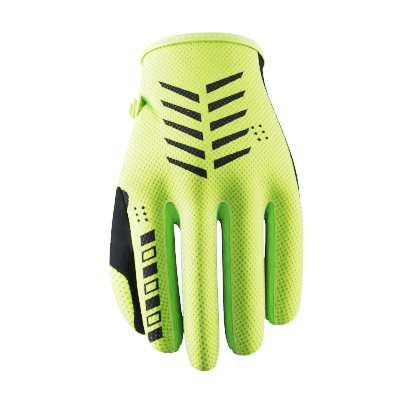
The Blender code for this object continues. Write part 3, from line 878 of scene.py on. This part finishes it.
def tube(name, lines, radius, material, taper=1.0):
    """Round beads along lines of places, with their ends drawn in by a share."""
    curve = bpy.data.curves.new(name, "CURVE")
    curve.dimensions = "3D"
    curve.bevel_depth = radius
    curve.bevel_resolution = 2
    curve.use_fill_caps = True
    for line in lines:
        spline = curve.splines.new("POLY")
        spline.points.add(len(line) - 1)
        for point, place in zip(spline.points, line):
            point.co = (*place, 1)
        spline.points[0].radius = spline.points[-1].radius = taper
    guide = new_object(name, curve)
    graph = bpy.context.evaluated_depsgraph_get()
    drawn = bpy.data.meshes.new_from_object(guide.evaluated_get(graph))
    bpy.data.objects.remove(guide)
    mesh = bmesh.new()
    mesh.from_mesh(drawn)
    bpy.data.meshes.remove(drawn)
    bmesh.ops.remove_doubles(mesh, verts=mesh.verts, dist=MERGE)
    bmesh.ops.recalc_face_normals(mesh, faces=mesh.faces)
    finish_piece(shaded_piece(name, mesh), material)


def evened(places, rounds=3):
    """The places with their small kinks smoothed out and their ends kept."""
    for _ in range(rounds):
        middle = [(a + b * 2 + c) / 4 for a, b, c in zip(places, places[1:], places[2:])]
        places = [places[0], *middle, places[-1]]
    return places


def stitch_spots(run, inset, rise, pitch):
    """Evenly spaced spots beside a run, as (place, along, out)."""
    places = evened([place + inward * inset + out * rise for place, out, inward in run])
    spots = []
    left = pitch / 2
    for at in range(len(places) - 1):
        step = places[at + 1] - places[at]
        while left <= step.length and step.length > 0:
            spots.append((places[at] + step * (left / step.length), step.normalized(), run[at][1]))
            left += pitch
        left -= step.length
    return spots


def front_spot(tree, x, z):
    """The place and way out of the first surface met from the front."""
    place, out, _, _ = tree.ray_cast(Vector((x, -1, z)), Vector((0, 1, 0)))
    return place, out


def sharp_edges(mesh, least):
    """The edges of a closed mesh that bend by more than an angle."""
    return [e for e in mesh.edges if len(e.link_faces) == 2 and e.calc_face_angle() > least]


def sharp_loops(mesh, least):
    """Closed rows of places along the edges that are sharper than an angle."""
    return [[point.co.copy() for point in row] for row in walked(sharp_edges(mesh, least))]


def spread(row):
    """The mean distance of a row's places from their middle."""
    middle = sum(row, Vector()) / len(row)
    return sum((place - middle).length for place in row) / len(row)


def loop_frames(row):
    """Each place of a closed row with its way out and its way up the mouth of the cuff."""
    middle = sum(row, Vector()) / len(row)
    frames = []
    for at, place in enumerate(row):
        along = (row[(at + 1) % len(row)] - row[at - 1]).normalized()
        out = place - middle
        out = (out - along * out.dot(along)).normalized()
        up = along.cross(out)
        if up.z < 0:
            up.negate()
        frames.append((place, out, up))
    return frames


def stitches(name, spots, trim, material, cloth):
    """Short threads, each a slim rounded bead half sunk in the cloth that it lies on."""
    tree = tree_of(cloth)
    mesh = bmesh.new()
    upright = Matrix.Rotation(math.pi / 2, 4, "Y")
    size = Matrix.Diagonal((trim.stitch_length / 2, trim.stitch_thick, trim.stitch_thick, 1))
    for place, along, out in spots:
        place, out = tree.find_nearest(place + out * trim.stitch_thick)[:2]
        place = place + out * trim.stitch_thick * 0.4
        along = (along - out * along.dot(out)).normalized()
        side = along.cross(out).normalized()
        turn = Matrix((along, side, side.cross(along))).transposed().to_4x4()
        laid = Matrix.Translation(place) @ turn @ size @ upright
        bmesh.ops.create_uvsphere(mesh, u_segments=6, v_segments=5, radius=1, matrix=laid)
    bmesh.ops.recalc_face_normals(mesh, faces=mesh.faces)
    finish_piece(shaded_piece(name, mesh), material)


def needle_line(name, spots, trim, slot, cloth):
    """A thin dark line of painted shade, standing in for the groove that a row of stitches draws into the
    cloth.
    """
    tree = tree_of(cloth)
    line = [tree.find_nearest(place)[0] for place, along, out in spots]
    tube(name, [line], trim.stitch_thick * 0.8, thread_of("needle line", trim.needle_line))


def lip(name, cloth, tree, inset, radius, material, slot):
    """A rolled edge along the rims of a panel where they lie at the surfaces of a tree."""
    lines = [
        evened([place + inward * inset for place, out, inward in run])
        for run in runs(cloth, lambda point: lies_at(tree, point))
    ]
    tube(name, lines, radius, material)


class GLOVE_OT_knit(bpy.types.Operator):
    """Knitted panels of the back and the thumb"""

    bl_idname = "glove.knit"
    bl_label = "Knit panels"

    def execute(self, context):
        glove = context.scene.glove
        for node, style in (("back_knit", glove.print), ("thumb_knit", None)):
            piece = panel(node, glove.cloth.knit_wall)
            if style:
                lay_flat(piece)
                press_creases(piece)
            else:
                wrap_flat(piece)
            finish_piece(piece, knit_finish(glove.cloth, style), node)
        return {"FINISHED"}


class GLOVE_OT_suede(bpy.types.Operator):
    """Suede panels of the palm and the thumb"""

    bl_idname = "glove.suede"
    bl_label = "Suede panels"

    def execute(self, context):
        cloth = context.scene.glove.cloth
        for node in ("palm_suede", "thumb_suede"):
            piece = panel(node, cloth.suede_wall)
            finish_piece(piece, found_or_made("napped suede", suede_finish, cloth), node)
        return {"FINISHED"}


class GLOVE_OT_gussets(bpy.types.Operator):
    """Stretch panels between the fingers"""

    bl_idname = "glove.gussets"
    bl_label = "Finger gussets"

    def execute(self, context):
        cloth = context.scene.glove.cloth
        for node in GUSSETS:
            piece = panel(node, cloth.gusset_wall)
            finish_piece(piece, found_or_made("stretch cloth", stretch_finish, cloth), node)
        return {"FINISHED"}


class GLOVE_OT_cuff(bpy.types.Operator):
    """The tape folded over the cuff's edge, its lower cord and its row of stitches"""

    bl_idname = "glove.cuff"
    bl_label = "Cuff tape"

    def execute(self, context):
        trim = context.scene.glove.trim
        tape = found_or_made("cuff tape", tape_finish, trim)
        mesh = solid_copy("cuff_binding")
        lower = loop_frames(max(sharp_loops(mesh, TAPE_EDGE_BEND), key=spread))
        join_flat(mesh)
        finish_piece(smoothed(mesh, "cuff_tape", 2), tape, "cuff_binding")
        cord = [place - out * trim.tape_cord * 0.4 + up * trim.tape_cord for place, out, up in lower]
        tube("tape_cord", [cord + cord[:2]], trim.tape_cord, tape)
        row = [(place + up * trim.tape_row, out, up) for place, out, up in lower]
        spots = stitch_spots(row + row[:1], 0.0, 0.0, trim.tape_pitch)
        pale = thread_of("seam thread", trim.thread)
        stitches("tape_stitches", spots, trim, pale, "cuff_tape")
        # Painted shade along the tape's row of stitches
        needle_line("tape_needle_line", spots, trim, "binding", "cuff_tape")
        return {"FINISHED"}


class GLOVE_OT_strap(bpy.types.Operator):
    """The wrist strap, the pull on its end and the edge that laps over the knit"""

    bl_idname = "glove.strap"
    bl_label = "Wrist strap"

    def execute(self, context):
        trim = context.scene.glove.trim
        tape = found_or_made("cuff tape", tape_finish, trim)
        pull = found_or_made("rubber pull", rubber_finish, trim)
        for node, slot, material in (("wrist_strap", "stretch", tape), ("strap_pull", "rubber", pull)):
            mesh = solid_copy(node)
            join_flat(mesh, ROUND_BEND)
            bmesh.ops.bevel(
                mesh,
                geom=sharp_edges(mesh, ROUND_BEND),
                offset=EDGE_ROUND,
                segments=3,
                profile=0.5,
                affect="EDGES",
                material=-1,
            )
            finish_piece(smoothed(mesh, f"{node}_shown", 1), material, node)
        tree = tree_of("back_knit_cloth")
        spots = [front_spot(tree, *place) for place in STRAP_EDGE]
        edge = [place + out * trim.strap_edge * 0.5 for place, out in spots]
        tube("strap_edge", [edge], trim.strap_edge, tape, taper=0.4)
        return {"FINISHED"}


class GLOVE_OT_seams(bpy.types.Operator):
    """Rolled edges along the finger seams and round the clefts"""

    bl_idname = "glove.seams"
    bl_label = "Rolled seams"

    def execute(self, context):
        glove = context.scene.glove
        trim = glove.trim
        gussets = tree_of(*GUSSETS)
        # The rolled edges of the finger seams are paler than the knit: a painted highlight on a real rolled
        # edge
        pale = thread_of("seam lip", trim.lip_highlight)
        suede = found_or_made("napped suede", suede_finish, glove.cloth)
        lip("seam_lips", "back_knit_cloth", gussets, trim.lip_inset, trim.lip, pale, "knit")
        lip("palm_lips", "palm_suede_cloth", gussets, trim.palm_lip_inset, trim.palm_lip, suede, "suede")
        return {"FINISHED"}


class GLOVE_OT_vents(bpy.types.Operator):
    """Small punched vents, each a dark disc of painted shade for its hole, in two staggered rows of three,
    beside the print and at the thumb
    """

    bl_idname = "glove.vents"
    bl_label = "Vents"

    def execute(self, context):
        trim = context.scene.glove.trim
        tree = tree_of("back_knit_cloth")
        mesh = bmesh.new()
        size = Matrix.Diagonal((trim.vent, trim.vent, trim.vent * 0.5, 1))
        for (x, z, lean), column, row in product(VENT_FIELDS, range(VENT_COLUMNS), range(VENT_ROWS)):
            across = x + column * trim.vent_pitch + row * lean
            up = z + column * lean / 2 - row * trim.vent_pitch * trim.vent_rows
            place, out = front_spot(tree, across, up)
            place = place + out * trim.vent * 0.15
            turn = out.to_track_quat("Z", "Y").to_matrix().to_4x4()
            laid = Matrix.Translation(place) @ turn @ size
            bmesh.ops.create_uvsphere(mesh, u_segments=16, v_segments=8, radius=1, matrix=laid)
        # The dark discs paint the shade inside the punched holes
        finish_piece(shaded_piece("vents", mesh), thread_of("vent", trim.dark_thread_and_vent_shade))
        return {"FINISHED"}


class GLOVE_OT_stitches(bpy.types.Operator):
    """Rows of stitches on the knit and the palm"""

    bl_idname = "glove.stitches"
    bl_label = "Stitches"

    def execute(self, context):
        trim = context.scene.glove.trim
        knit, suede = "back_knit_cloth", "palm_suede_cloth"
        palm = tree_of("palm_suede")
        cuff = tree_of("cuff_binding")
        gussets = tree_of(*GUSSETS)
        rise = trim.stitch_thick * 0.3
        spots = []
        for run in runs(knit, lambda point: lies_at(palm, point) and not lies_at(cuff, point)):
            spots += stitch_spots(run, trim.stitch_inset, rise, trim.stitch_pitch)
        for run in runs(knit, lambda point: lies_at(gussets, point)):
            spots += stitch_spots(run, trim.finger_inset, rise, trim.stitch_pitch)
        back = tree_of(knit)
        edge = [front_spot(back, *place) for place in WRIST_STITCHES]
        at_wrist = stitch_spots([(place, out, out) for place, out in edge], 0.0, rise, trim.stitch_pitch)
        # Painted shade along the wrist's row of stitches
        needle_line("wrist_needle_line", at_wrist, trim, "knit", knit)
        pale = thread_of("seam thread", trim.thread)
        stitches("knit_stitches", spots + at_wrist, trim, pale, knit)
        spots = []
        for run in runs(suede, lambda point: not lies_at(cuff, point)):
            spots += stitch_spots(run, trim.stitch_inset, rise, trim.stitch_pitch)
        dark = thread_of("palm thread", trim.dark_thread_and_vent_shade)
        stitches("palm_stitches", spots, trim, dark, suede)
        return {"FINISHED"}


class GLOVE_OT_stage(bpy.types.Operator):
    """Camera, pale floor and studio lights"""

    bl_idname = "glove.stage"
    bl_label = "Stage"

    def execute(self, context):
        stage = context.scene.glove.stage
        low, high = CAD_BOX
        across, up = PICTURE_MIDDLE
        camera = bpy.data.cameras.new("camera")
        camera.sensor_width = SENSOR_WIDTH
        camera.lens = SENSOR_WIDTH * stage.camera_away / stage.frame_wide
        holder = new_object("camera", camera)
        holder.location = (across, low.y - stage.camera_away, up)
        holder.rotation_euler = (math.pi / 2, 0, 0)
        context.scene.camera = holder
        set_contrast(context.scene.view_settings)
        add_floor(low.z - stage.floor_drop)
        centre = (low + high) / 2
        for name, place, size in LIGHTS:
            add_light(name, centre + Vector(place), centre, size, getattr(stage, name))
        context.scene.world = white_surround(stage.surround, stage.backdrop)
        return {"FINISHED"}


def set_contrast(view):
    """Deeper shadows and softer highlights, as in a bright studio picture."""
    view.view_transform = "Standard"
    view.use_curve_mapping = True
    view.curve_mapping.clip_max_x = TONES[-1][0]
    points = view.curve_mapping.curves[3].points
    points[0].location = TONES[0]
    points[1].location = TONES[-1]
    for tone in TONES[1:-1]:
        points.new(*tone)
    view.curve_mapping.update()


def add_floor(height):
    """A wide pale floor."""
    mesh = bmesh.new()
    place = Matrix.Translation((0, 0, height))
    bmesh.ops.create_grid(mesh, x_segments=1, y_segments=1, size=FLOOR_HALF_WIDTH, matrix=place)
    data = bpy.data.meshes.new("floor")
    mesh.to_mesh(data)
    mesh.free()
    finish = Finish("floor", 0.9)
    finish.set_shader("Base Color", finish.mix(finish.noise(2.0), (0.93, 0.93, 0.93), (0.96, 0.96, 0.96)))
    data.materials.append(finish.material)
    new_object("floor", data)


def white_surround(strength, shown):
    """A world that lights the glove softly and shows as a white wall behind it."""
    world = bpy.data.worlds.new("studio")
    world.use_nodes = True
    tree = world.node_tree
    surround = tree.nodes["Background"]
    surround.inputs["Color"].default_value = (0.9, 1.0, 0.9, 1)
    seen = tree.nodes.new("ShaderNodeLightPath").outputs["Is Camera Ray"]
    level = tree.nodes.new("ShaderNodeMapRange")
    level.inputs["To Min"].default_value = strength
    level.inputs["To Max"].default_value = shown
    tree.links.new(seen, level.inputs["Value"])
    tree.links.new(level.outputs[0], surround.inputs["Strength"])
    return world


def add_light(name, place, target, size, watts):
    """An oblong light at a place, turned to a target."""
    light = bpy.data.lights.new(name, "AREA")
    light.shape = "RECTANGLE"
    light.size, light.size_y = size
    light.energy = watts
    holder = new_object(name, light)
    holder.location = place
    holder.rotation_euler = (target - place).to_track_quat("-Z", "Y").to_euler()


STEPS = (
    GLOVE_OT_knit,
    GLOVE_OT_suede,
    GLOVE_OT_gussets,
    GLOVE_OT_cuff,
    GLOVE_OT_strap,
    GLOVE_OT_seams,
    GLOVE_OT_vents,
    GLOVE_OT_stitches,
    GLOVE_OT_stage,
)


class GLOVE_PT_panel(bpy.types.Panel):
    """The steps that dress the glove"""

    bl_label = "Motocross glove"
    bl_space_type = "VIEW_3D"
    bl_region_type = "UI"
    bl_category = "Glove"

    def draw(self, context):
        glove = context.scene.glove
        for step in STEPS:
            self.layout.operator(step.bl_idname)
        for group in (glove.cloth, glove.trim, glove.print, glove.stage):
            box = self.layout.box()
            for name in group.__annotations__:
                box.prop(group, name)


CLASSES = (GloveCloth, GloveTrim, GlovePrint, GloveStage, Glove, *STEPS, GLOVE_PT_panel)


def register():
    """Adds the classes and the glove's values to Blender."""
    for made in CLASSES:
        bpy.utils.register_class(made)
    bpy.types.Scene.glove = PointerProperty(type=Glove)


def unregister():
    """Takes the classes and the glove's values out of Blender again."""
    del bpy.types.Scene.glove
    for made in reversed(CLASSES):
        bpy.utils.unregister_class(made)


def main():
    """Dresses the glove step by step."""
    register()
    for step in STEPS:
        group, name = step.bl_idname.split(".")
        getattr(getattr(bpy.ops, group), name)()


if __name__ == "__main__":
    main()
